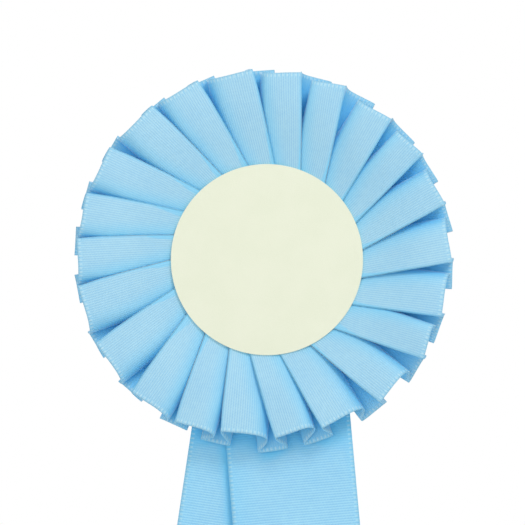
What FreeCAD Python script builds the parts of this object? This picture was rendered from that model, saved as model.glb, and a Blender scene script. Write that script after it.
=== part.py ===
import FreeCAD, Part

import os
import Sketcher

# Award rosette: a box-pleated satin ruffle round a blank card disc, two ribbon tails, and a bar pin
# behind that fastens it to a garment.
#
# Frame: millimetres, +Z up, +X to the right of someone who faces the rosette, the front facing -Y.
# The origin is the centre of the front face of the centre disc, on the rosette's axis.
# A depth is a distance behind that face, along +Y. A height is measured along +Z.

DIMENSIONS = {
    # Centre disc and the layers behind it, front to back.
    "disc_radius": 29.0,
    "disc_thickness": 0.8,
    "foam_radius": 15.0,
    "ruffle_stack": 2.4,
    "backing_radius": 31.0,
    "backing_thickness": 1.0,
    "ribbon_thickness": 0.4,
    "rear_foam_radius": 22.0,
    "rear_foam_thickness": 1.0,
    "cover_radius": 27.0,
    "cover_thickness": 0.8,
    # Pleated ruffle.
    "pleat_count": 22,
    "ruffle_inner_radius": 19.5,
    "ruffle_inner_depth": 1.3,
    "core_radius": 50.5,
    "core_rim_depth": -1.0,
    "petal_width": 15.5,
    "petal_root_radius": 27.0,
    "petal_root_depth": 1.4,
    "petal_root_tilt": 0.9,
    "petal_root_thickness": 0.7,
    "petal_hem_radius": 53.9,
    "petal_hem_depth": -7.5,
    "petal_hem_tilt": 4.6,
    "petal_hem_thickness": 1.6,
    "petal_skew": 1.6,
    "tab_width": 10.5,
    "tab_thickness": 0.8,
    "tab_root_radius": 40.0,
    "tab_hem_radius": 57.2,
    "tab_inset": 0.1,
    # Thread and staples that hold the pleats and the tails to the backing card.
    "thread_ring_radius": 22.0,
    "thread_radius": 0.25,
    "staple_wire": 0.45,
    "staple_length": 9.0,
    "ruffle_staple_count": 8,
    "ruffle_staple_radius": 25.0,
    "tail_staple_height": -25.0,
    "tail_staple_reach": 8.0,
    "tail_staple_bite": 0.5,
    # Ribbon tails. Each centre line starts at its own place level with the disc centre.
    "tail_width": 38.0,
    "anchor_top": 15.0,
    "anchor_bottom": -32.0,
    "tail_top": -33.6,
    "tail_tip": -205.0,
    "tail_notch": 16.0,
    "tail_spacing": 0.3,
    "right_start": 2.0,
    "right_lean": 4.9,
    "left_start": 4.0,
    "left_lean": -8.4,
    # Bar pin. Its own middle is where it crosses the rosette's vertical centre line.
    "pin_height": 12.0,
    "bar_length": 32.0,
    "bar_width": 6.0,
    "bar_thickness": 0.6,
    "strip_thickness": 0.5,
    "strip_margin": 1.0,
    "needle_standoff": 2.6,
    "needle_radius": 0.45,
    "needle_straight_end": 10.8,
    "needle_tip": 16.6,
    "needle_tip_radius": 0.08,
    "hinge_place": -13.0,
    "eye_radius": 1.4,
    "eye_bore": 0.55,
    "eye_width": 2.4,
    "ear_gap": 2.6,
    "ear_thickness": 0.6,
    "ear_length": 3.0,
    "rivet_radius": 0.5,
    "rivet_head_radius": 0.9,
    "rivet_head_height": 0.4,
    "hood_start": 12.0,
    "hood_end": 16.0,
    "hood_bore": 1.65,
    "hood_wall": 0.5,
    "hood_slot": 1.5,
    "hood_slot_reach": 4.3,
    "hood_foot_width": 2.0,
    "hood_foot_bite": 0.33,
    "rotor_radius": 1.6,
    "rotor_bore": 0.6,
    "rotor_slot": 1.2,
    "rotor_play": 0.1,
    "flange_radius": 2.1,
    "flange_thickness": 0.5,
    "lever_length": 3.1,
    "lever_width": 1.2,
    "lever_thickness": 1.1,
    "lever_angle": -50.0,
}

doc = FreeCAD.newDocument("award_rosette")
sheet = doc.addObject("Spreadsheet::Sheet", "dims")
for row, (alias, number) in enumerate(DIMENSIONS.items(), start=1):
    sheet.set(f"A{row}", alias)
    sheet.set(f"B{row}", str(number))
    sheet.setAlias(f"B{row}", alias)
doc.recompute()

# Depths of the layers, each behind the last.
DISC_BACK = "dims.disc_thickness"
RUFFLE_BACK = f"({DISC_BACK} + dims.ruffle_stack)"
BACKING_BACK = f"({RUFFLE_BACK} + dims.backing_thickness)"
RIGHT_BACK = f"({BACKING_BACK} + dims.ribbon_thickness)"
LEFT_BACK = f"({RIGHT_BACK} + dims.ribbon_thickness)"
COVER_FRONT = f"({LEFT_BACK} + dims.rear_foam_thickness)"
COVER_BACK = f"({COVER_FRONT} + dims.cover_thickness)"
BAR_FRONT = f"({COVER_BACK} + dims.strip_thickness)"
BAR_BACK = f"({BAR_FRONT} + dims.bar_thickness)"
NEEDLE_DEPTH = f"({BAR_BACK} + dims.needle_standoff)"

# The least volume that a cut takes away, in cubic millimetres.
LEAST_CUT = 0.5

pieces = []


def value(expression):
    """The number that an expression on the sheet gives."""
    return float(sheet.evalExpression(expression))


def bind(item, **expressions):
    """Bind properties to the sheet; a double underscore in a name stands for a dot."""
    for name, expression in expressions.items():
        item.setExpression(name.replace("__", "."), expression)
    return item


def keep(item, label):
    """Name a finished piece and add it to those that are written out."""
    item.Label = label
    pieces.append(item)
    return item


def new_body(label, several_solids=False):
    body = doc.addObject("PartDesign::Body", f"{label}_body")
    body.AllowCompound = several_solids
    return keep(body, label)


def origin_feature(body, role):
    return next(item for item in body.Origin.OriginFeatures if item.Role == role)


def new_sketch(body, name, plane, along="0", up="0", out="0"):
    """A sketch on one of the body's planes, with its own origin moved along, up and out of it."""
    sketch = body.newObject("Sketcher::SketchObject", name)
    sketch.AttachmentSupport = [(origin_feature(body, plane), "")]
    sketch.MapMode = "FlatFace"
    bind(
        sketch,
        AttachmentOffset__Base__x=along,
        AttachmentOffset__Base__y=up,
        AttachmentOffset__Base__z=out,
    )
    return sketch


def pin_point(sketch, geometry, point, along, up):
    """Hold a point of the sketch at two bound distances from the sketch's origin."""
    for kind, expression in (("DistanceX", along), ("DistanceY", up)):
        rule = Sketcher.Constraint(kind, -1, 1, geometry, point, value(expression))
        number = sketch.addConstraint(rule)
        sketch.setExpression(f"Constraints[{number}]", expression)


def outline(sketch, points):
    """A closed outline of straight lines through points given as pairs of expressions."""
    corners = [FreeCAD.Vector(value(along), value(up), 0) for along, up in points]
    first = sketch.GeometryCount
    for start, end in zip(corners, corners[1:] + corners[:1]):
        sketch.addGeometry(Part.LineSegment(start, end))
    for index, (along, up) in enumerate(points):
        following = first + (index + 1) % len(points)
        joined = Sketcher.Constraint("Coincident", first + index, 2, following, 1)
        sketch.addConstraint(joined)
        pin_point(sketch, first + index, 1, along, up)
    return sketch


def rectangle(sketch, left, right, bottom, top):
    return outline(sketch, [(left, bottom), (right, bottom), (right, top), (left, top)])


def ring(sketch, *radii):
    """Circles of bound radius about the sketch's origin."""
    for radius in radii:
        circle = Part.Circle(FreeCAD.Vector(), FreeCAD.Vector(0, 0, 1), value(radius))
        index = sketch.addGeometry(circle)
        sketch.addConstraint(Sketcher.Constraint("Coincident", index, 3, -1, 1))
        number = sketch.addConstraint(Sketcher.Constraint("Radius", index, value(radius)))
        sketch.setExpression(f"Constraints[{number}]", radius)
    return sketch


def pad(body, name, sketch, length, reverse=False, centred=False):
    feature = body.newObject("PartDesign::Pad", name)
    feature.Profile = sketch
    feature.Reversed = reverse
    feature.Midplane = centred
    return bind(feature, Length=length)


def revolve(body, name, sketch, axis):
    feature = body.newObject("PartDesign::Revolution", name)
    feature.Profile = sketch
    feature.ReferenceAxis = (sketch, [axis])
    feature.Angle = 360
    return feature


def cut_through(body, name, sketch):
    """Cut a sketch right through the body both ways, and make sure that it took material away."""
    doc.recompute()
    before = body.Shape.Volume
    feature = body.newObject("PartDesign::Pocket", name)
    feature.Profile = sketch
    feature.Type = "ThroughAll"
    feature.Midplane = True
    doc.recompute()
    if before - body.Shape.Volume < LEAST_CUT:
        raise RuntimeError(f"{name} cut nothing")
    return feature


def repeat_round(body, name, features, count):
    """Repeat features round the rosette's axis."""
    pattern = body.newObject("PartDesign::PolarPattern", name)
    pattern.Originals = features
    pattern.Axis = (origin_feature(body, "Y_Axis"), [""])
    pattern.Angle = 360
    bind(pattern, Occurrences=count)
    body.Tip = pattern
    return pattern


def disc(label, radius, front, thickness):
    """A round layer that lies square to the rosette's axis."""
    layer = doc.addObject("Part::Cylinder", f"{label}_layer")
    layer.Placement = FreeCAD.Placement(
        FreeCAD.Vector(), FreeCAD.Rotation(FreeCAD.Vector(1, 0, 0), -90)
    )
    bind(layer, Radius=radius, Height=thickness, Placement__Base__y=front)
    return keep(layer, label)


def build_layers():
    """The cards and foam pads of the stack."""
    disc("centre_disc", "dims.disc_radius", "0", "dims.disc_thickness")
    disc("centre_foam_pad", "dims.foam_radius", DISC_BACK, "dims.ruffle_stack")
    disc("backing_card", "dims.backing_radius", RUFFLE_BACK, "dims.backing_thickness")
    disc("rear_foam_pad", "dims.rear_foam_radius", LEFT_BACK, "dims.rear_foam_thickness")
    disc("rear_cover_card", "dims.cover_radius", COVER_FRONT, "dims.cover_thickness")


def petal_section(body, end, shift):
    """Cross-section of a petal: its right-hand edge is the ridge, in front of the next petal."""
    sketch = new_sketch(body, f"petal_{end}", "XY_Plane", out=f"dims.petal_{end}_radius")
    right = f"(dims.petal_width / 2 - {shift})"
    left = f"(-dims.petal_width / 2 - {shift})"
    ridge = f"dims.petal_{end}_depth"
    low = f"({ridge} + dims.petal_{end}_tilt)"
    thickness = f"dims.petal_{end}_thickness"
    points = [
        (right, ridge),
        (right, f"{ridge} + {thickness}"),
        (left, f"{low} + {thickness}"),
        (left, low),
    ]
    return outline(sketch, points)


def build_ruffle():
    """One closed solid: a round core, overlapping tilted petals, and the tabs of the back pleats."""
    body = new_body("pleated_ruffle")
    profile = new_sketch(body, "core_profile", "XY_Plane")
    points = [
        ("dims.ruffle_inner_radius", "dims.ruffle_inner_depth"),
        ("dims.petal_root_radius", "dims.ruffle_inner_depth"),
        ("dims.core_radius", "dims.core_rim_depth"),
        ("dims.core_radius", RUFFLE_BACK),
        ("dims.ruffle_inner_radius", RUFFLE_BACK),
    ]
    revolve(body, "core", outline(profile, points), "V_Axis")

    root = petal_section(body, "root", "0")
    hem = petal_section(body, "hem", "dims.petal_skew")
    petal = body.newObject("PartDesign::AdditiveLoft", "petal")
    petal.Profile = root
    petal.Sections = [hem]
    petal.Ruled = True
    repeat_round(body, "petals", [petal], "dims.pleat_count")

    tab_sketch = new_sketch(
        body, "tab_outline", "XZ_Plane",
        out=f"-({RUFFLE_BACK} - dims.tab_inset - dims.tab_thickness)",
    )
    rectangle(
        tab_sketch, "-dims.tab_width / 2", "dims.tab_width / 2",
        "dims.tab_root_radius", "dims.tab_hem_radius",
    )
    tab = pad(body, "tab", tab_sketch, "dims.tab_thickness", reverse=True)
    repeat_round(body, "tabs", [tab], "dims.pleat_count")


def build_stitching():
    """The gathering thread that runs round the inner edge of the pleats."""
    thread = doc.addObject("Part::Torus", "thread_ring")
    thread.Placement = FreeCAD.Placement(
        FreeCAD.Vector(), FreeCAD.Rotation(FreeCAD.Vector(1, 0, 0), -90)
    )
    bind(
        thread,
        Radius1="dims.thread_ring_radius",
        Radius2="dims.thread_radius",
        Placement__Base__y="dims.ruffle_inner_depth - dims.thread_radius",
    )
    keep(thread, "pleat_stitching")


def staple_outline(sketch, crown, leg_end, middle="0"):
    """A staple seen along its wire: the crown at one depth and two legs that end at another."""
    half = "dims.staple_length / 2"
    wire = "dims.staple_wire"
    inner = f"({half} - {wire})"
    direction = "-" if value(crown) > value(leg_end) else "+"
    under_crown = f"({crown} {direction} {wire})"
    points = [
        (f"{middle} - {half}", crown),
        (f"{middle} + {half}", crown),
        (f"{middle} + {half}", leg_end),
        (f"{middle} + {inner}", leg_end),
        (f"{middle} + {inner}", under_crown),
        (f"{middle} - {inner}", under_crown),
        (f"{middle} - {inner}", leg_end),
        (f"{middle} - {half}", leg_end),
    ]
    return outline(sketch, points)


def build_staples():
    """Staples through the ruffle into the backing card, and two through the tails' ends."""
    wire = "dims.staple_wire"
    body = new_body("ruffle_staples", several_solids=True)
    sketch = new_sketch(body, "ruffle_staple", "XY_Plane", out="dims.ruffle_staple_radius")
    staple_outline(sketch, f"(dims.ruffle_inner_depth - {wire})", BACKING_BACK)
    first = pad(body, "first_ruffle_staple", sketch, wire)
    repeat_round(body, "ruffle_staple_ring", [first], "dims.ruffle_staple_count")

    body = new_body("tail_staples", several_solids=True)
    leg_end = f"({BACKING_BACK} - dims.tail_staple_bite)"
    for side, sign in (("right", ""), ("left", "-")):
        name = f"tail_staple_{side}"
        sketch = new_sketch(body, f"{name}_outline", "XY_Plane", out="dims.tail_staple_height")
        middle = f"({sign}dims.tail_staple_reach)"
        staple_outline(sketch, f"({LEFT_BACK} + {wire})", leg_end, middle)
        pad(body, name, sketch, wire)


def ribbon_centre(side, height):
    """Where the middle of a leaning tail is at a height."""
    return f"dims.{side}_start - ({height}) * tan(dims.{side}_lean)"


def ribbon_edge(side, height, sign):
    """Where one edge of a tail is at a height."""
    return f"{ribbon_centre(side, height)} {sign} dims.tail_width / 2 / cos(dims.{side}_lean)"


def build_tail(side, front, gap):
    """The stapled end of a tail, and the tail itself, which hangs clear of it at the bend."""
    anchor = new_body(f"tail_{side}_anchor")
    top, bottom = "dims.anchor_top", "dims.anchor_bottom"
    sketch = new_sketch(anchor, f"{side}_anchor_outline", "XZ_Plane", out=f"-{front}")
    points = [
        (ribbon_edge(side, top, "-"), top),
        (ribbon_edge(side, top, "+"), top),
        (ribbon_edge(side, bottom, "+"), bottom),
        (ribbon_edge(side, bottom, "-"), bottom),
    ]
    pad(anchor, f"{side}_anchor_pad", outline(sketch, points), "dims.ribbon_thickness", True)

    tail = new_body(f"tail_{side}")
    top, tip, notch = "dims.tail_top", "dims.tail_tip", "dims.tail_tip + dims.tail_notch"
    sketch = new_sketch(tail, f"{side}_tail_outline", "XZ_Plane", out=f"-({front} + {gap})")
    points = [
        (ribbon_edge(side, top, "-"), top),
        (ribbon_edge(side, top, "+"), top),
        (ribbon_edge(side, tip, "+"), tip),
        (ribbon_centre(side, notch), notch),
        (ribbon_edge(side, tip, "-"), tip),
    ]
    pad(tail, f"{side}_tail_pad", outline(sketch, points), "dims.ribbon_thickness", True)


def build_bar():
    """The pin's base bar with two upright ears for the hinge, and the strip that sticks it on."""
    strip = doc.addObject("Part::Box", "strip")
    length = "(dims.bar_length - 2 * dims.strip_margin)"
    width = "(dims.bar_width - dims.strip_margin)"
    bind(
        strip,
        Length=length,
        Width="dims.strip_thickness",
        Height=width,
        Placement__Base__x=f"-{length} / 2",
        Placement__Base__y=COVER_BACK,
        Placement__Base__z=f"dims.pin_height - {width} / 2",
    )
    keep(strip, "pin_adhesive_strip")

    body = new_body("pin_bar")
    sketch = new_sketch(body, "bar_outline", "XY_Plane", out="dims.pin_height")
    rectangle(sketch, "-dims.bar_length / 2", "dims.bar_length / 2", BAR_FRONT, BAR_BACK)
    pad(body, "bar", sketch, "dims.bar_width", centred=True)
    for name, lowest in (
        ("lower_ear", "dims.pin_height - dims.ear_gap / 2 - dims.ear_thickness"),
        ("upper_ear", "dims.pin_height + dims.ear_gap / 2"),
    ):
        sketch = new_sketch(body, f"{name}_outline", "XY_Plane", out=lowest)
        rectangle(
            sketch,
            "dims.hinge_place - dims.ear_length / 2",
            "dims.hinge_place + dims.ear_length / 2",
            BAR_FRONT,
            f"{NEEDLE_DEPTH} + dims.ear_length / 2",
        )
        pad(body, name, sketch, "dims.ear_thickness")
    sketch = new_sketch(
        body, "rivet_hole", "XY_Plane", along="dims.hinge_place", up=NEEDLE_DEPTH,
        out="dims.pin_height",
    )
    cut_through(body, "rivet_holes", ring(sketch, "dims.rivet_radius"))


def build_hinge_rivet():
    body = new_body("pin_hinge_rivet")
    sketch = new_sketch(
        body, "rivet_profile", "XZ_Plane", along="dims.hinge_place", up="dims.pin_height",
        out=f"-{NEEDLE_DEPTH}",
    )
    shank = "(dims.ear_gap / 2 + dims.ear_thickness)"
    end = f"({shank} + dims.rivet_head_height)"
    points = [
        ("0", f"-{end}"),
        ("dims.rivet_head_radius", f"-{end}"),
        ("dims.rivet_head_radius", f"-{shank}"),
        ("dims.rivet_radius", f"-{shank}"),
        ("dims.rivet_radius", shank),
        ("dims.rivet_head_radius", shank),
        ("dims.rivet_head_radius", end),
        ("0", end),
    ]
    revolve(body, "rivet", outline(sketch, points), "V_Axis")


def build_needle():
    """The steel needle: an eye that turns on the hinge rivet, a straight stretch and a point."""
    body = new_body("pin_needle")
    sketch = new_sketch(
        body, "eye_outline", "XY_Plane", along="dims.hinge_place", up=NEEDLE_DEPTH,
        out="dims.pin_height",
    )
    ring(sketch, "dims.eye_radius", "dims.eye_bore")
    pad(body, "eye", sketch, "dims.eye_width", centred=True)
    sketch = new_sketch(
        body, "needle_profile", "XY_Plane", up=NEEDLE_DEPTH, out="dims.pin_height"
    )
    start = "(dims.hinge_place + (dims.eye_radius + dims.eye_bore) / 2)"
    points = [
        (start, "0"),
        ("dims.needle_tip", "0"),
        ("dims.needle_tip", "dims.needle_tip_radius"),
        ("dims.needle_straight_end", "dims.needle_radius"),
        (start, "dims.needle_radius"),
    ]
    revolve(body, "needle", outline(sketch, points), "H_Axis")


def catch_sketch(body, name, start):
    """A sketch square to the needle, with its origin on the needle's resting line."""
    return new_sketch(
        body, name, "YZ_Plane", along=NEEDLE_DEPTH, up="dims.pin_height", out=start
    )


def build_hood():
    """The catch's fixed hood: a sleeve on a foot, with a slot that lets the needle out."""
    body = new_body("pin_catch_hood")
    length = "dims.hood_end - dims.hood_start"
    outer = "(dims.hood_bore + dims.hood_wall)"
    foot = catch_sketch(body, "hood_foot_outline", "dims.hood_start")
    half = "dims.hood_foot_width / 2"
    top = f"-({outer} - dims.hood_foot_bite)"
    rectangle(foot, "-dims.needle_standoff", top, f"-{half}", half)
    pad(body, "hood_foot", foot, length)
    sleeve = ring(catch_sketch(body, "hood_ring", "dims.hood_start"), outer, "dims.hood_bore")
    pad(body, "hood_sleeve", sleeve, length)
    slot = catch_sketch(body, "hood_slot_outline", "dims.hood_start")
    rectangle(
        slot, "dims.hood_bore / 2", "dims.hood_slot_reach", "-dims.hood_slot / 2",
        "dims.hood_slot / 2",
    )
    cut_through(body, "hood_slot", slot)


def build_rotor():
    """The catch's turning sleeve: a flange at each end, a thumb lever and the needle's slot."""
    body = new_body("pin_catch_rotor")
    profile = new_sketch(
        body, "rotor_profile", "XY_Plane", up=NEEDLE_DEPTH, out="dims.pin_height"
    )
    near_face = "(dims.hood_start - dims.rotor_play)"
    far_face = "(dims.hood_end + dims.rotor_play)"
    start = f"({near_face} - dims.flange_thickness)"
    end = f"({far_face} + dims.lever_thickness)"
    points = [
        (start, "dims.rotor_bore"),
        (end, "dims.rotor_bore"),
        (end, "dims.flange_radius"),
        (far_face, "dims.flange_radius"),
        (far_face, "dims.rotor_radius"),
        (near_face, "dims.rotor_radius"),
        (near_face, "dims.flange_radius"),
        (start, "dims.flange_radius"),
    ]
    revolve(body, "rotor_sleeve", outline(profile, points), "H_Axis")
    lever = catch_sketch(body, "lever_outline", far_face)
    bind(lever, AttachmentOffset__Rotation__Angle="dims.lever_angle")
    rectangle(
        lever, "dims.rotor_radius", "dims.lever_length", "-dims.lever_width / 2",
        "dims.lever_width / 2",
    )
    pad(body, "lever", lever, "dims.lever_thickness")
    slot = catch_sketch(body, "rotor_slot_outline", "dims.hood_start")
    rectangle(
        slot, "0", "dims.lever_length", "-dims.rotor_slot / 2", "dims.rotor_slot / 2"
    )
    cut_through(body, "rotor_slot", slot)


def write_pieces():
    """Check the whole document, then write each piece to its own file."""
    doc.recompute()
    for item in doc.Objects:
        if {"Invalid", "Error"} & set(item.State):
            raise RuntimeError(f"{item.Label} failed: {item.State}")
    for item in pieces:
        if item.Shape.isNull() or not item.Shape.isValid():
            raise RuntimeError(f"{item.Label} has no valid shape")
    os.makedirs("parts", exist_ok=True)
    for item in pieces:
        item.Shape.exportStep(f"parts/{item.Label}.step")
        box = item.Shape.BoundBox
        print(f"{item.Label}: {len(item.Shape.Solids)} solid(s), {item.Shape.Volume:.2f} mm3, {box}")


build_layers()
build_ruffle()
build_stitching()
build_staples()
build_tail("right", BACKING_BACK, "0")
build_tail("left", RIGHT_BACK, "dims.tail_spacing")
build_bar()
build_hinge_rivet()
build_needle()
build_hood()
build_rotor()
write_pieces()
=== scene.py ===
import math

import bpy
import numpy as np
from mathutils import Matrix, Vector
from mathutils.bvhtree import BVHTree


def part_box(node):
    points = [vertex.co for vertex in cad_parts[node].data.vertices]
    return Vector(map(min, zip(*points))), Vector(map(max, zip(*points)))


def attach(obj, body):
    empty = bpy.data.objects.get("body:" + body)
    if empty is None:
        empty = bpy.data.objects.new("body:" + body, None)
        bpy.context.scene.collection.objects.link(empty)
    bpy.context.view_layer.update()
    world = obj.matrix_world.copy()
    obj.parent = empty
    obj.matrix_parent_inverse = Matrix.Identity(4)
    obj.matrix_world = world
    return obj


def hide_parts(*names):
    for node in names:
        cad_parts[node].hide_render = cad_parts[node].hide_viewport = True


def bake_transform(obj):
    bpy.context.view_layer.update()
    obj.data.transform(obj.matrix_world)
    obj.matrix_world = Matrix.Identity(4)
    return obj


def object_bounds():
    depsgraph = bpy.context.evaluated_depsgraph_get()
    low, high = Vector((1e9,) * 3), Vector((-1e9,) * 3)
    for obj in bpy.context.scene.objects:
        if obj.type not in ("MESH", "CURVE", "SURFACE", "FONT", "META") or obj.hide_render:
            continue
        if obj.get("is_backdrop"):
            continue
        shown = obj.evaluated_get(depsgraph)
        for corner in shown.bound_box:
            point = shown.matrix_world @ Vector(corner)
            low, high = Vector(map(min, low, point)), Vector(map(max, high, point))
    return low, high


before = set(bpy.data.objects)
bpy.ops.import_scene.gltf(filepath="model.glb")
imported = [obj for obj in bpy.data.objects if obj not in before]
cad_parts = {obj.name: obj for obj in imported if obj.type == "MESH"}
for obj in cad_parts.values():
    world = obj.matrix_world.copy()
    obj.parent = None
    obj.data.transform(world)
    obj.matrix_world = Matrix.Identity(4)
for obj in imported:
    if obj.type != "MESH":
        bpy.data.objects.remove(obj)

# Award rosette. Lengths are metres and angles are degrees. The front faces -Y, and +Z is up.
# Clockwise is as seen by someone who faces the front, and an angle of 0 points straight up.
cad_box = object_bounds()
MM = 0.001

DISC_LOW, DISC_HIGH = (np.array(corner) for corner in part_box("centre_disc"))
DISC_RADIUS = (DISC_HIGH[0] - DISC_LOW[0]) / 2
RUFFLE_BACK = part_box("pleated_ruffle")[1][1]
TAIL_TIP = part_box("tail_right")[0][2]

RIBBON_WIDTH = 38 * MM
RIBBON_THICKNESS = 0.22 * MM
RIB_PITCH = 0.75 * MM
STITCH_PITCH = 1.35 * MM
SHARP_ANGLE = 40

# Each pleat: its ridge's angle at the disc's edge, how far the ridge has turned back at the hem,
# the gap between its ridge and the next pleat at the hem, how far its tab reaches back under it, and
# how much further its front is gathered in than its neighbours'. The last three are in mm.
PLEATS = [
    (-10.5, 9.5, -0.6, 5.5, 0.0),
    (5.5, 9.0, 1.2, 4.0, 0.0),
    (21.5, 10.5, 4.0, 1.0, 0.0),
    (38.0, 13.0, 4.6, 0.5, 0.0),
    (53.0, 11.0, 4.0, 1.0, 0.0),
    (68.5, 12.0, 2.8, 1.8, -0.4),
    (85.0, 11.5, 1.0, 3.0, -0.5),
    (102.0, 10.5, 1.0, 3.3, -0.7),
    (119.0, 10.0, 2.4, 3.3, -0.8),
    (137.0, 13.5, 3.6, 3.3, -0.9),
    (154.0, 11.5, 3.2, 3.5, -0.5),
    (173.0, 10.5, 0.8, 4.0, 0.7),
    (191.0, 13.0, 0.4, 5.0, 1.5),
    (203.5, 8.0, 0.2, 5.0, 1.0),
    (220.5, 10.0, 0.2, 6.0, -0.5),
    (236.5, 10.0, 0.2, 5.5, -0.9),
    (253.5, 8.5, -0.6, 6.5, -0.6),
    (270.5, 7.5, -0.8, 6.5, -0.3),
    (285.5, 8.0, -1.0, 6.5, 0.0),
    (301.0, 9.5, -1.0, 6.5, 0.0),
    (317.0, 10.0, -1.0, 6.5, 0.0),
    (333.0, 8.5, -1.0, 6.0, 0.0),
]
FRONT_PANEL = 18.0 * MM
HELD_PANEL = 15.5 * MM
RETURN_PANEL = 9.5 * MM
BACK_PANEL = 11.2 * MM

# The front hems' plan, which lies a little to one side of the disc.
HEM_RADIUS = 54.5 * MM
HEM_SHIFT = 1.9 * MM
HEM_SHIFT_ANGLE = 320
HEM_DROP = 0.8 * MM

# Where the ribbon's inner edge lies, under the disc. The front panels are gathered further in.
BACK_START, BACK_SHIFT = 19.5 * MM, 1.2 * MM
FRONT_START, FRONT_SHIFT = 17.9 * MM, 1.9 * MM
FRONT_LIMIT = 15.2 * MM


# ---------------------------------------------------------------- meshes

def mesh_object(name, points, faces, lengths=None):
    """A smooth mesh piece. lengths gives each face corner's place on the ribbon, along and across."""
    mesh = bpy.data.meshes.new(name)
    mesh.from_pydata([tuple(point) for point in points], [], faces)
    if lengths is not None:
        layer = mesh.uv_layers.new(name="ribbon_lengths")
        layer.data.foreach_set("uv", np.asarray(lengths, dtype=np.float32).ravel())
    mesh.polygons.foreach_set("use_smooth", [True] * len(faces))
    mesh.update()
    piece = bpy.data.objects.new(name, mesh)
    bpy.context.collection.objects.link(piece)
    return piece


def grid_faces(rows, columns, closed):
    """Faces of a grid of points stored row by row, and the matching (row, column) of each corner."""
    faces, corners = [], []
    for row in range(rows - 1):
        for column in range(columns if closed else columns - 1):
            following = column + 1
            wrapped = following % columns
            faces.append((
                row * columns + column,
                row * columns + wrapped,
                (row + 1) * columns + wrapped,
                (row + 1) * columns + column,
            ))
            corners += [(row, column), (row, following), (row + 1, following), (row + 1, column)]
    return faces, corners


def thicken(piece, thickness):
    modifier = piece.modifiers.new("cloth_thickness", "SOLIDIFY")
    modifier.thickness = thickness
    modifier.offset = 0
    apply_modifiers(piece)


def apply_modifiers(piece):
    graph = bpy.context.evaluated_depsgraph_get()
    final = bpy.data.meshes.new_from_object(piece.evaluated_get(graph))
    piece.modifiers.clear()
    piece.data = final


def round_edges(piece, width):
    modifier = piece.modifiers.new("rounded_edges", "BEVEL")
    modifier.width = width
    modifier.segments = 2
    modifier.limit_method = "ANGLE"
    modifier.angle_limit = math.radians(SHARP_ANGLE)
    modifier.harden_normals = False


# How open each point of the ribbon is, for the painted shade in its colour: the rays tried, how far
# they look, the share that cloth on edge keeps, the columns that a fold's painted shade spreads over,
# and the least share it may leave there.
OPENNESS = "openness"
OPEN_RAYS = 24
OPEN_REACH = 25 * MM
RAY_LIFT = 0.15 * MM
STANDING_OPEN = 0.35
SHADE_SPREAD = 7
SHADE_FLOOR = 0.45


def spread_of_rays():
    """Directions over a half sphere about +Z, more of them near its pole, as soft light falls."""
    steps = np.arange(OPEN_RAYS) + 0.5
    across = np.sqrt(steps / OPEN_RAYS)
    turn = steps * math.pi * (3 - math.sqrt(5))
    return np.stack([across * np.cos(turn), across * np.sin(turn), np.sqrt(1 - across**2)], axis=1)


def columns_before(share, steps, closed):
    """For each column, the values of the column some steps before it."""
    columns = share.shape[2]
    numbers = np.arange(columns) - steps
    numbers = numbers % columns if closed else np.clip(numbers, 0, columns - 1)
    return share[:, :, numbers]


def store_openness(pieces, every=3):
    """Give each point how open it is: 0 is shut in by cloth on all sides, and 1 is in the open.

    pieces holds each sheet, its number of columns, and whether its columns go round in a closed
    ring. Only some rows are tried, and the rows between them are filled in. The ribbon materials
    paint shade from this value: the less open, the deeper the painted blue. Cloth that stands on
    edge, as a fold's sides do, counts as less open, so it takes painted shade by which way it faces,
    and the painted shade in a fold spreads clockwise over the next columns.
    """
    shapes, faces, first = [], [], 0
    for piece, _, _ in pieces:
        points = np.empty(len(piece.data.vertices) * 3)
        piece.data.vertices.foreach_get("co", points)
        shapes.append(points.reshape(-1, 3))
        faces += [tuple(first + corner for corner in face.vertices) for face in piece.data.polygons]
        first += len(piece.data.vertices)
    cloth = BVHTree.FromPolygons(np.concatenate(shapes).tolist(), faces)
    rays = spread_of_rays()
    for (piece, columns, closed), points in zip(pieces, shapes):
        rows = len(points) // columns // 2
        tried = sorted({*range(0, rows, every), rows - 1})
        share = np.empty((2, rows, columns))
        for side in range(2):
            found = np.empty((len(tried), columns))
            for place, row in enumerate(tried):
                for column in range(columns):
                    index = (side * rows + row) * columns + column
                    normal = piece.data.vertices[index].normal
                    turned = rays @ np.array(normal.to_track_quat("Z", "Y").to_matrix()).T
                    start = Vector(points[index]) + RAY_LIFT * normal
                    found_at = [cloth.ray_cast(start, Vector(ray), OPEN_REACH)[0] for ray in turned]
                    hits = sum(spot is not None for spot in found_at)
                    # Painted shade by facing: cloth turned edge-on to the front keeps a smaller share, as
                    # if it were in shade.
                    flatness = STANDING_OPEN + (1 - STANDING_OPEN) * normal.y**2
                    found[place, column] = (1 - hits / OPEN_RAYS) * flatness
            for column in range(columns):
                share[side, :, column] = np.interp(np.arange(rows), tried, found[:, column])
        near = (columns_before(share, 1, closed) + columns_before(share, -1, closed)) / 2
        spread = [columns_before(share, steps, closed) for steps in range(SHADE_SPREAD)]
        before = sum(spread) / SHADE_SPREAD
        # Painted shade: blurred across neighbouring columns and carried clockwise from each fold over the
        # next columns.
        soft = np.minimum(0.5 * share + 0.5 * near, SHADE_FLOOR + (1 - SHADE_FLOOR) * before)
        layer = piece.data.attributes.new(OPENNESS, "FLOAT", "POINT")
        layer.data.foreach_set("value", soft.astype(np.float32).ravel())


# ---------------------------------------------------------------- materials

def linear(red, green, blue):
    """A colour given in the usual 0 to 255 steps, as linear light."""
    steps = np.array([red, green, blue]) / 255
    return (*np.where(steps <= 0.04045, steps / 12.92, ((steps + 0.055) / 1.055) ** 2.4), 1.0)


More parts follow.
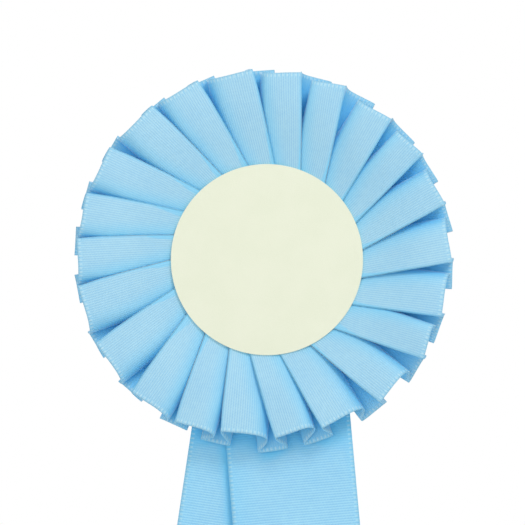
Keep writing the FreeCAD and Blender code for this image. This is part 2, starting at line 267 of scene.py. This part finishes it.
class Shader:
    """A node material that is built up one named step at a time."""

    def __init__(self, name, roughness, metallic=0.0, sheen=0.0, specular=0.5):
        self.material = bpy.data.materials.new(name)
        self.material.use_nodes = True
        self.tree = self.material.node_tree
        self.surface = self.tree.nodes["Principled BSDF"]
        self.surface.inputs["Roughness"].default_value = roughness
        self.surface.inputs["Metallic"].default_value = metallic
        self.surface.inputs["Specular IOR Level"].default_value = specular
        self.surface.inputs["Sheen Weight"].default_value = sheen
        self.surface.inputs["Sheen Roughness"].default_value = 0.5

    def connect(self, value, socket):
        if isinstance(value, bpy.types.NodeSocket):
            self.tree.links.new(value, socket)
        else:
            socket.default_value = value

    def math(self, operation, *values):
        node = self.tree.nodes.new("ShaderNodeMath")
        node.operation = operation
        for value, socket in zip(values, node.inputs):
            self.connect(value, socket)
        return node.outputs[0]

    def ramp(self, value, low, high, low_result=0.0, high_result=1.0):
        node = self.tree.nodes.new("ShaderNodeMapRange")
        node.interpolation_type = "SMOOTHSTEP"
        for number, socket in zip((value, low, high, low_result, high_result), node.inputs):
            self.connect(number, socket)
        return node.outputs[0]

    def mix(self, factor, first, second):
        node = self.tree.nodes.new("ShaderNodeMix")
        node.data_type = "RGBA"
        for value, name in ((factor, "Factor_Float"), (first, "A_Color"), (second, "B_Color")):
            socket = next(item for item in node.inputs if item.identifier == name)
            self.connect(value, socket)
        return next(item for item in node.outputs if item.identifier == "Result_Color")

    def attribute(self, name):
        node = self.tree.nodes.new("ShaderNodeAttribute")
        node.attribute_name = name
        return node.outputs["Fac"]

    def place(self):
        return self.tree.nodes.new("ShaderNodeTexCoord").outputs["Object"]

    def noise(self, scale, detail=2.0, where=None):
        node = self.tree.nodes.new("ShaderNodeTexNoise")
        node.inputs["Scale"].default_value = scale
        node.inputs["Detail"].default_value = detail
        self.connect(where or self.place(), node.inputs["Vector"])
        return node.outputs["Fac"]

    def colour(self, value):
        self.connect(value, self.surface.inputs["Base Color"])

    def roughness(self, value):
        self.connect(value, self.surface.inputs["Roughness"])

    def bump(self, height, depth, strength=1.0):
        node = self.tree.nodes.new("ShaderNodeBump")
        node.inputs["Strength"].default_value = strength
        node.inputs["Distance"].default_value = depth
        self.connect(height, node.inputs["Height"])
        self.connect(node.outputs[0], self.surface.inputs["Normal"])


def ribbon_material(name, valley, crest, edge_dash, painted_fold_shade, shut):
    """Ribbed satin: fine ribs straight across the ribbon, and a woven edge with pale stitches.

    The colour is mixed by the stored openness. Open cloth that faces front or back keeps the paler
    rib colours, which hold a painted sheen, and cloth shut in by folds or standing on edge turns to a
    deeper blue, which is painted shade. Cloth no more open than shut has the full painted shade.
    """
    shader = Shader(name, roughness=0.5, sheen=0.5, specular=0.5)
    layer = shader.tree.nodes.new("ShaderNodeUVMap")
    layer.uv_map = "ribbon_lengths"
    split = shader.tree.nodes.new("ShaderNodeSeparateXYZ")
    shader.tree.links.new(layer.outputs[0], split.inputs[0])
    along, across = split.outputs[0], split.outputs[1]

    turn = 2 * math.pi
    wobble = shader.math("MULTIPLY", shader.noise(160.0), 0.2 * RIB_PITCH)
    place = shader.math("ADD", along, wobble)
    rib = shader.math("SINE", shader.math("MULTIPLY", place, turn / RIB_PITCH))
    rib_number = shader.math("FLOOR", shader.math("MULTIPLY", place, 1 / RIB_PITCH))
    thread_turn = shader.math("MULTIPLY", across, turn / (0.6 * RIB_PITCH))
    stagger = shader.math("MULTIPLY", rib_number, 0.5 * turn)
    thread = shader.math("SINE", shader.math("ADD", thread_turn, stagger))
    patches = shader.noise(700.0, 3.0)
    clouds = shader.noise(60.0, 2.0)

    weave = shader.math("ADD", shader.math("MULTIPLY", rib, 0.28), shader.math("MULTIPLY", thread, 0.24))
    weave = shader.math("ADD", weave, shader.math("MULTIPLY", patches, 0.5))
    weave = shader.math("ADD", weave, shader.math("MULTIPLY", clouds, 0.5))
    cloth = shader.mix(shader.ramp(weave, 0.1, 0.9), valley, crest)
    # Painted shade and sheen: shut-in or edge-on cloth is mixed towards the deep fold colour, which is
    # painted shade, and open cloth keeps the paler colours, which hold a painted sheen.
    cloth = shader.mix(shader.ramp(shader.attribute(OPENNESS), shut, 1.0), painted_fold_shade, cloth)

    edge = shader.math("ABSOLUTE", shader.math("SUBTRACT", across, RIBBON_WIDTH / 2))
    inward = shader.ramp(edge, RIBBON_WIDTH / 2 - 1.4 * MM, RIBBON_WIDTH / 2 - 1.0 * MM)
    outward = shader.ramp(edge, RIBBON_WIDTH / 2 - 0.5 * MM, RIBBON_WIDTH / 2 - 0.2 * MM, 1.0, 0.2)
    selvedge = shader.math("MULTIPLY", inward, outward)
    dash = shader.ramp(shader.math("SINE", shader.math("MULTIPLY", along, turn / STITCH_PITCH)), -0.2, 0.6)
    stitches = shader.math("MULTIPLY", selvedge, dash)
    shader.colour(shader.mix(shader.math("MULTIPLY", stitches, 0.4), cloth, edge_dash))

    height = shader.math("ADD", shader.math("MULTIPLY", rib, 0.5), shader.math("MULTIPLY", thread, 0.25))
    height = shader.math("ADD", height, shader.math("MULTIPLY", stitches, 0.8))
    shader.bump(height, 0.035 * MM, 0.8)
    return shader.material


def thread_material(name, pale):
    shader = Shader(name, roughness=0.6, sheen=0.3, specular=0.3)
    shader.colour(shader.mix(shader.noise(2500.0), pale, tuple(0.86 * part for part in pale[:3]) + (1,)))
    shader.bump(shader.noise(6000.0), 0.02 * MM, 0.5)
    return shader.material


def card_material(name, light, dark, grain=3200.0):
    """Smooth board: faint fibres, slight clouding and a matt surface."""
    shader = Shader(name, roughness=0.85, specular=0.2)
    clouds = shader.ramp(shader.noise(90.0, 4.0), 0.35, 0.65)
    fibres = shader.ramp(shader.noise(grain, 3.0), 0.3, 0.7)
    tone = shader.math("ADD", shader.math("MULTIPLY", clouds, 0.4), shader.math("MULTIPLY", fibres, 0.6))
    shader.colour(shader.mix(tone, dark, light))
    shader.bump(fibres, 0.012 * MM, 0.5)
    return shader.material


def foam_material(name):
    shader = Shader(name, roughness=0.9, specular=0.2)
    cells = shader.noise(2600.0, 2.0)
    shader.colour(shader.mix(cells, linear(214, 213, 206), linear(244, 243, 238)))
    shader.bump(cells, 0.1 * MM, 0.8)
    return shader.material


def metal_material(name, light, dark, roughness):
    """Plated or drawn metal: fine scratches, slight dulling and a little wear."""
    shader = Shader(name, roughness=roughness, metallic=1.0)
    stretch = shader.tree.nodes.new("ShaderNodeMapping")
    stretch.inputs["Scale"].default_value = (0.08, 1.0, 1.0)
    shader.tree.links.new(shader.place(), stretch.inputs["Vector"])
    scratches = shader.noise(9000.0, 2.0, stretch.outputs[0])
    dull = shader.ramp(shader.noise(500.0, 3.0), 0.35, 0.7)
    shader.colour(shader.mix(dull, light, dark))
    shader.roughness(shader.ramp(dull, 0.0, 1.0, roughness, roughness + 0.15))
    shader.bump(scratches, 0.006 * MM, 0.4)
    return shader.material


def give(piece, material):
    piece.data.materials.clear()
    piece.data.materials.append(material)


# ---------------------------------------------------------------- ruffle

def heading(angle):
    """The unit direction, right and up, at an angle clockwise from the top."""
    return np.array([math.sin(math.radians(angle)), math.cos(math.radians(angle))])


def clockwise_of(direction):
    return np.array([direction[1], -direction[0]])


def lesser(first, second, softness):
    """The smaller of two heights, with a soft change from one to the other."""
    return -softness * np.log(np.exp(-first / softness) + np.exp(-second / softness))


def past(value, softness):
    """How far a value is over zero, with a soft start."""
    return softness * np.log1p(np.exp(value / softness))


def smooth_step(value):
    value = np.clip(value, 0, 1)
    return value * value * (3 - 2 * value)


PLAN_ROWS = 70
PLAN_DEPTH = 45 * MM
RUFFLE_ROWS = 46
FRONT_STEPS, RETURN_STEPS, BACK_STEPS = 20, 9, 7
BACK_DEPTH = RUFFLE_BACK - 0.2 * MM
RIDGE_CLEARANCE = 0.45 * MM
CORNER_SOFTNESS = 1.2 * MM
LEAST_RISE = 2 * MM

# The disc holds each fold down at its edge; past the edge the folds climb towards the hem.
# A pleat that is gathered further in climbs more steeply, and one that is gathered less, less so.
RIDGE_HELD, RIDGE_CLIMB, GATHER_CLIMB = 2.1 * MM, 0.42, 0.07
LEFT_HELD, LEFT_CLIMB = 0.9 * MM, 0.06
HEM_SOFTNESS = 0.12


class Pleat:
    """One pleat's lines, from the inner edge out: ridge, left fold, tuck and turn.

    The front panel runs from the left fold to the ridge, and the back panel from the tuck to the
    turn. Places in the plan are right and up, and heights are over the back panels.
    """

    def __init__(self, ridge, lean, gap, tab, gather):
        self.gap = gap * MM
        hem_angle = ridge - lean
        off_centre = math.cos(math.radians(hem_angle - HEM_SHIFT_ANGLE))
        inner = DISC_RADIUS * heading(ridge)
        outer = (HEM_RADIUS + HEM_SHIFT * off_centre) * heading(hem_angle) - np.array([0, HEM_DROP])
        self.direction = (outer - inner) / np.linalg.norm(outer - inner)
        self.clockwise = clockwise_of(self.direction)
        self.offset = inner @ self.clockwise
        self.hem = outer @ self.direction
        self.pinched = inner @ self.direction

        rows = np.linspace(0, 1, PLAN_ROWS) * PLAN_DEPTH
        self.reach = max(FRONT_START + FRONT_SHIFT * off_centre - gather * MM, FRONT_LIMIT) + rows
        back_reach = BACK_START + BACK_SHIFT * off_centre + 0.5 * gather * MM + rows
        back_inner = self.at(BACK_START, BACK_PANEL / 2 - RETURN_PANEL)
        back_outer = outer + (BACK_PANEL / 2 - tab * MM) * self.clockwise
        along_back = (back_outer - back_inner) / np.linalg.norm(back_outer - back_inner)
        self.back_clockwise = clockwise_of(along_back)
        middle = np.outer(back_reach, along_back) + (back_inner @ self.back_clockwise) * self.back_clockwise
        self.tuck = middle - BACK_PANEL / 2 * self.back_clockwise
        self.turn = middle + BACK_PANEL / 2 * self.back_clockwise
        self.ridge = self.at(self.reach)

        beyond = past(self.reach - self.pinched, CORNER_SOFTNESS)
        self.opening = smooth_step((self.reach - self.pinched) / (self.hem - self.pinched))
        run = np.abs((self.ridge - self.tuck) @ self.back_clockwise)
        free = np.sqrt(np.maximum(RETURN_PANEL**2 - run**2, LEAST_RISE**2))
        climb = RIDGE_CLIMB + GATHER_CLIMB * gather
        self.ridge_height = lesser(free, RIDGE_HELD + climb * beyond, CORNER_SOFTNESS)
        self.left_height = LEFT_HELD + LEFT_CLIMB * beyond

    def at(self, reach, across=0.0):
        """A point that lies across (clockwise) of the ridge line, at a reach along it."""
        side = np.multiply.outer(self.offset + np.asarray(across), self.clockwise)
        return side + np.multiply.outer(reach, self.direction)

    def lay_left_fold(self, before):
        """Place the left fold beside the ridge of the pleat before, at the hem.

        The panel is longer than the straight line it spans there, so it arches by what is left over.
        """
        room = (self.at(self.hem) - before.at(before.hem, before.gap)) @ self.clockwise
        hem_chord = min(room, HELD_PANEL)
        self.chord = HELD_PANEL - (HELD_PANEL - hem_chord) * self.opening
        self.left = self.at(self.reach, -self.chord)
        span = math.hypot(hem_chord, self.ridge_height[-1] - self.left_height[-1])
        self.hem_arch = span * math.sqrt(0.375 * max(FRONT_PANEL / span - 1, 0.004))

    def keep_under(self, plan, height):
        """Keep part of the next pleat under this pleat's ridge."""
        clockwise_gap = plan @ self.clockwise - self.offset
        ceiling = np.interp(plan @ self.direction, self.reach, self.ridge_height) - RIDGE_CLEARANCE
        return lesser(height, ceiling + 1.5 * np.maximum(clockwise_gap, 0), 0.25 * MM)


def front_panel(pleat, before):
    """Columns from the left fold to the ridge: an arch that falls away towards the left fold."""
    for part in np.arange(FRONT_STEPS) / FRONT_STEPS:
        arch = pleat.hem_arch * pleat.opening * math.sin(math.pi * part**0.6)
        lean_back = (pleat.ridge_height - pleat.left_height) / pleat.chord
        plan = pleat.at(pleat.reach, -pleat.chord * (1 - part) - arch * lean_back)
        height = pleat.left_height + (pleat.ridge_height - pleat.left_height) * part + arch
        yield plan, before.keep_under(plan, height), (0.5 if part < 0.3 else 0.05)


def ridge_return(pleat):
    """Columns from the ridge down to the tuck, which stay over the next pleat near the disc."""
    power = 2.6 - 1.4 * pleat.opening
    for part in np.arange(RETURN_STEPS) / RETURN_STEPS:
        plan = pleat.ridge + (pleat.tuck - pleat.ridge) * part
        yield plan, pleat.ridge_height * (1 - part**power), (0.03 if part < 0.2 else 0.2)


def back_panel(pleat):
    """Columns of the back panel, whose outer end is the tab that shows between two petals."""
    for part in np.arange(BACK_STEPS) / BACK_STEPS:
        yield pleat.tuck + (pleat.turn - pleat.tuck) * part, np.zeros(PLAN_ROWS), 0.2


def left_return(pleat, following):
    """Columns from the turn up to the next pleat's left fold."""
    power = 1.5 - 0.35 * following.opening
    for part in np.arange(RETURN_STEPS) / RETURN_STEPS:
        plan = pleat.turn + (following.left - pleat.turn) * part
        yield plan, following.left_height * (1 - (1 - part) ** power), (0.5 if part > 0.5 else 0.2)


def ruffle_columns():
    """The ribbon's points, one column for each place along it, with that place's length."""
    pleats = [Pleat(*numbers) for numbers in PLEATS]
    random = np.random.default_rng(7)
    for number, pleat in enumerate(pleats):
        jitter = random.uniform(-0.3, 0.3, 2) * MM
        pleat.ridge_height = pleat.ridge_height + jitter[0] * pleat.opening
        pleat.left_height = pleat.left_height + jitter[1] * pleat.opening
        pleat.lay_left_fold(pleats[number - 1])

    columns, softness, lengths = [], [], [0.0]
    for number, pleat in enumerate(pleats):
        following = pleats[(number + 1) % len(pleats)]
        panels = (
            (front_panel(pleat, pleats[number - 1]), FRONT_PANEL / FRONT_STEPS),
            (ridge_return(pleat), RETURN_PANEL / RETURN_STEPS),
            (back_panel(pleat), BACK_PANEL / BACK_STEPS),
            (left_return(pleat, following), RETURN_PANEL / RETURN_STEPS),
        )
        for panel, step in panels:
            for plan, height, softly in panel:
                columns.append(np.stack([plan[:, 0], BACK_DEPTH - height, plan[:, 1]], axis=1))
                softness.append(softly)
                lengths.append(lengths[-1] + step)
    return np.stack(columns, axis=1), np.array(lengths), np.array(softness)


def soften_folds(points, softness, passes=14):
    """Round the folds: each column moves towards the mean of its neighbours, most at a soft fold.

    Even a sharp fold is a little rounder at the hem, where nothing presses it.
    """
    along = np.minimum(np.linspace(0, PLAN_DEPTH, PLAN_ROWS) / RIBBON_WIDTH, 1)
    weight = np.maximum(softness[None, :, None], HEM_SOFTNESS * along[:, None, None] ** 6)
    for _ in range(passes):
        mean = (np.roll(points, 1, axis=1) + np.roll(points, -1, axis=1)) / 2
        points = points + weight * (mean - points)
    return points


def cut_to_width(points):
    """Cut each column where it is as long as the ribbon is wide, and space its points evenly."""
    steps = np.linalg.norm(np.diff(points, axis=0), axis=2)
    along = np.concatenate([np.zeros((1, points.shape[1])), np.cumsum(steps, axis=0)])
    wanted = np.linspace(0, RIBBON_WIDTH, RUFFLE_ROWS)
    even = np.empty((RUFFLE_ROWS, points.shape[1], 3))
    for column in range(points.shape[1]):
        for axis in range(3):
            even[:, column, axis] = np.interp(wanted, along[:, column], points[:, column, axis])
    return even


def build_ruffle(material):
    points, lengths, softness = ruffle_columns()
    points = cut_to_width(soften_folds(points, softness))
    rows, columns, _ = points.shape
    faces, corners = grid_faces(rows, columns, closed=True)
    across = np.linspace(0, RIBBON_WIDTH, rows)
    places = [(lengths[column], across[row]) for row, column in corners]
    ruffle = mesh_object("satin_ruffle", points.reshape(-1, 3), faces, places)
    thicken(ruffle, RIBBON_THICKNESS)
    give(ruffle, material)
    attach(ruffle, "rosette")
    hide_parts("pleated_ruffle")
    return ruffle, columns, lengths[-1]


# ---------------------------------------------------------------- tails

TAIL_START = 15 * MM
TAIL_NOTCH = 16 * MM
BEND_START, BEND_END = -30 * MM, -38 * MM
HANG_EASE = 60 * MM
TAIL_ROWS, TAIL_COLUMNS = 150, 25


def tail_points(start, lean, depth, wave):
    """A tail's points, row by row from its stapled end down, and each point's place on the ribbon."""
    down = np.array([math.sin(math.radians(lean)), 0, -math.cos(math.radians(lean))])
    side = np.array([math.cos(math.radians(lean)), 0, math.sin(math.radians(lean))])
    origin = np.array([start, depth, 0])
    top = -TAIL_START / math.cos(math.radians(lean))
    tip = -TAIL_TIP / math.cos(math.radians(lean))
    points, places = [], []
    for row in range(TAIL_ROWS):
        part = row / (TAIL_ROWS - 1)
        for column in range(TAIL_COLUMNS):
            across = (column / (TAIL_COLUMNS - 1) - 0.5) * RIBBON_WIDTH
            notch = TAIL_NOTCH * (1 - abs(across) / (RIBBON_WIDTH / 2))
            length = top + (tip - notch - top) * part
            hang = smooth_step((length + BEND_END) / HANG_EASE)
            point = origin + down * length + side * across
            point[1] += hang * wave(length, across)
            points.append(point)
            places.append((length, across + RIBBON_WIDTH / 2))
    return np.array(points), places


def build_tail(side, start, lean, depth, wave, material):
    points, places = tail_points(start, lean, depth, wave)
    faces, corners = grid_faces(TAIL_ROWS, TAIL_COLUMNS, closed=False)
    corner_places = [places[row * TAIL_COLUMNS + column] for row, column in corners]
    tail = mesh_object(f"satin_tail_{side}", points, faces, corner_places)
    thicken(tail, RIBBON_THICKNESS)
    give(tail, material)
    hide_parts(f"tail_{side}", f"tail_{side}_anchor")
    return tail


def hang_tail(tail, lean):
    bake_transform(tail)


def right_wave(length, across):
    """How far the right tail stands off its flat place: a slow bow down it and a cup across it."""
    bow = 0.9 * MM * math.sin(length / (33 * MM) + 0.6)
    cup = 0.5 * MM * math.cos(across / (9 * MM)) * math.sin(length / (50 * MM))
    return bow + cup


def left_wave(length, across):
    """The left tail follows the right one, a little further back."""
    return right_wave(length, across) + 0.7 * MM + 0.5 * MM * math.sin(length / (40 * MM)) ** 2


# ---------------------------------------------------------------- light and camera

def area_light(name, place, target, size, power):
    light = bpy.data.lights.new(name, "AREA")
    light.shape = "DISK"
    light.size = size
    light.energy = power
    lamp = bpy.data.objects.new(name, light)
    lamp.location = place
    lamp.rotation_euler = (Vector(target) - Vector(place)).to_track_quat("-Z", "Y").to_euler()
    bpy.context.collection.objects.link(lamp)


ROOM_LIGHT, ROOM_SEEN = 0.64, 1.0
FLOOR_GAP = 40 * MM
FLOOR_SIDE = 1.4


def build_studio():
    """A white room, soft lights above, in front and behind, and a pale floor below the tails."""
    world = bpy.data.worlds.new("white_room")
    world.use_nodes = True
    nodes, links = world.node_tree.nodes, world.node_tree.links
    background = nodes["Background"]
    background.inputs["Color"].default_value = (1, 1, 1, 1)
    bright = nodes.new("ShaderNodeMapRange")
    rays = nodes.new("ShaderNodeLightPath")
    links.new(rays.outputs["Is Camera Ray"], bright.inputs["Value"])
    bright.inputs["To Min"].default_value = ROOM_LIGHT
    bright.inputs["To Max"].default_value = ROOM_SEEN
    links.new(bright.outputs[0], background.inputs["Strength"])
    bpy.context.scene.world = world

    area_light("key_above", (0.32, -0.6, 0.52), (0, 0, 0), 0.28, 2.05)
    area_light("fill_front", (-0.3, -0.9, 0.1), (0, 0, 0), 0.6, 1.0)
    area_light("fill_behind", (-0.3, 0.8, 0.35), (0, 0, -0.05), 0.5, 2.6)

    floor_height = TAIL_TIP - FLOOR_GAP
    half = FLOOR_SIDE / 2
    corners = [(-half, -half, floor_height), (half, -half, floor_height),
               (half, half, floor_height), (-half, half, floor_height)]
    floor = mesh_object("pale_floor", corners, [(0, 1, 2, 3)])
    give(floor, card_material("floor_paint", (0.9, 0.9, 0.9, 1), (0.86, 0.86, 0.86, 1), 60.0))
    floor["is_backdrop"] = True

    scene = bpy.context.scene
    scene.view_settings.view_transform = "Standard"
    scene.view_settings.look = "None"


def build_camera():
    """A long lens half a metre away and a little below the rosette, as seen straight on."""
    distance, elevation, seen_width = 0.5, -6.0, 158.4 * MM
    aim = Vector((-1.33 * MM, 0, -1.06 * MM))
    camera = bpy.data.cameras.new("camera")
    camera.sensor_width = 36
    camera.lens = camera.sensor_width * distance / seen_width
    camera.clip_start = 0.01
    camera.clip_end = 20
    holder = bpy.data.objects.new("camera", camera)
    tilt = math.radians(elevation)
    holder.location = aim + distance * Vector((0, -math.cos(tilt), math.sin(tilt)))
    holder.rotation_euler = (math.radians(90) - tilt, 0, 0)
    bpy.context.collection.objects.link(holder)
    bpy.context.scene.camera = holder


# ---------------------------------------------------------------- assembly

build_camera()
build_studio()

# Painted shade: the deep blue that shut-in cloth is mixed towards, inside the petals' folds and on the
# tails under the ruffle, where it stands for the ruffle's shadow.
PAINTED_FOLD_SHADE = (0.14, 0.65, 1.0, 1)
petal_satin = ribbon_material(
    "petal_satin", (0.29, 0.60, 0.84, 1), (0.43, 0.74, 0.90, 1), (0.66, 0.90, 0.96, 1), PAINTED_FOLD_SHADE, 0.05,
)
tail_satin = ribbon_material(
    "tail_satin", (0.25, 0.60, 0.90, 1), (0.40, 0.78, 0.98, 1), (0.60, 0.90, 0.99, 1), PAINTED_FOLD_SHADE, 0.4,
)
blue_thread = thread_material("blue_thread", (0.38, 0.70, 0.90, 1))
cream_card = card_material("cream_card", (0.87, 0.90, 0.73, 1), (0.83, 0.87, 0.69, 1))
grey_board = card_material("grey_board", linear(232, 230, 222), linear(214, 211, 202), 1800.0)
white_foam = foam_material("white_foam")
nickel = metal_material("nickel_plate", linear(196, 193, 186), linear(158, 154, 146), 0.22)
steel = metal_material("drawn_steel", linear(184, 186, 190), linear(150, 152, 156), 0.26)

ruffle, ruffle_columns_count, ruffle_length = build_ruffle(petal_satin)

RIGHT_LEAN, LEFT_LEAN = 4.9, -8.4
RIGHT_START, LEFT_START = 2 * MM, 4 * MM
RIGHT_DEPTH = sum(corner[1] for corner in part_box("tail_right")) / 2
LEFT_DEPTH = sum(corner[1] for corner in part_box("tail_left")) / 2
right = build_tail("right", RIGHT_START, RIGHT_LEAN, RIGHT_DEPTH, right_wave, tail_satin)
left = build_tail("left", LEFT_START, LEFT_LEAN, LEFT_DEPTH, left_wave, tail_satin)
store_openness([
    (ruffle, ruffle_columns_count, True), (right, TAIL_COLUMNS, False), (left, TAIL_COLUMNS, False),
])
hang_tail(right, RIGHT_LEAN)
hang_tail(left, LEFT_LEAN)

node_materials = {
    "centre_disc": cream_card,
    "backing_card": grey_board,
    "rear_cover_card": grey_board,
    "centre_foam_pad": white_foam,
    "rear_foam_pad": white_foam,
    "pin_adhesive_strip": white_foam,
    "pleat_stitching": blue_thread,
    "ruffle_staples": steel,
    "tail_staples": steel,
    "pin_bar": nickel,
    "pin_catch_hood": nickel,
    "pin_catch_rotor": nickel,
    "pin_hinge_rivet": steel,
    "pin_needle": steel,
}
for node, material in node_materials.items():
    give(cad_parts[node], material)

edge_widths = {
    "centre_disc": 0.15 * MM,
    "backing_card": 0.2 * MM,
    "rear_cover_card": 0.15 * MM,
    "pin_bar": 0.12 * MM,
    "pin_catch_hood": 0.06 * MM,
    "pin_catch_rotor": 0.05 * MM,
}
for node, width in edge_widths.items():
    round_edges(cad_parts[node], width)

[[list(corner) for corner in box] for box in (cad_box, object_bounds())]
